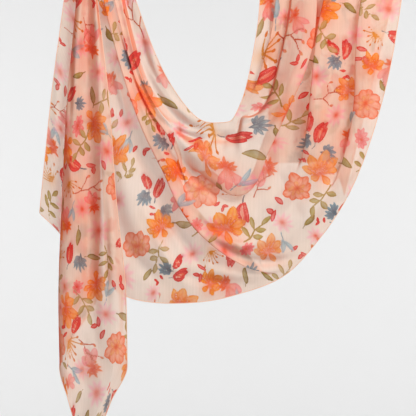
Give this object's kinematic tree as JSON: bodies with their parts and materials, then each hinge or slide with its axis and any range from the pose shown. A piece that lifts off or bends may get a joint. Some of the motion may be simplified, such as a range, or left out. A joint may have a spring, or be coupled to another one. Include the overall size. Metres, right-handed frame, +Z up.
{
  "type": "chiffon scarf",
  "caption": "Long oblong scarf of thin printed cloth, hung over a rail in two places: a folded tail in front, a deep swag between, and the last end behind.",
  "frame": {"origin": "on the axis of the rail that holds the scarf, in the middle of the gathered hold on the left", "axes": "+X along the rail towards the spread hold, +Y away from the viewer, +Z up"},
  "size_m": [0.651, 0.0549, 0.974],
  "materials": {
    "chiffon_front_tail": "sheer matt chiffon, printed",
    "chiffon_swag": "sheer matt chiffon, printed",
    "chiffon_rise": "sheer matt chiffon, printed",
    "chiffon_back": "sheer matt chiffon, printed"
  },
  "bodies": {
    "root": {"tail": "chiffon_front_tail", "swag_left": "chiffon_swag", "swag_right": "chiffon_rise", "back_end": "chiffon_back"}
  },
  "joints": []
}
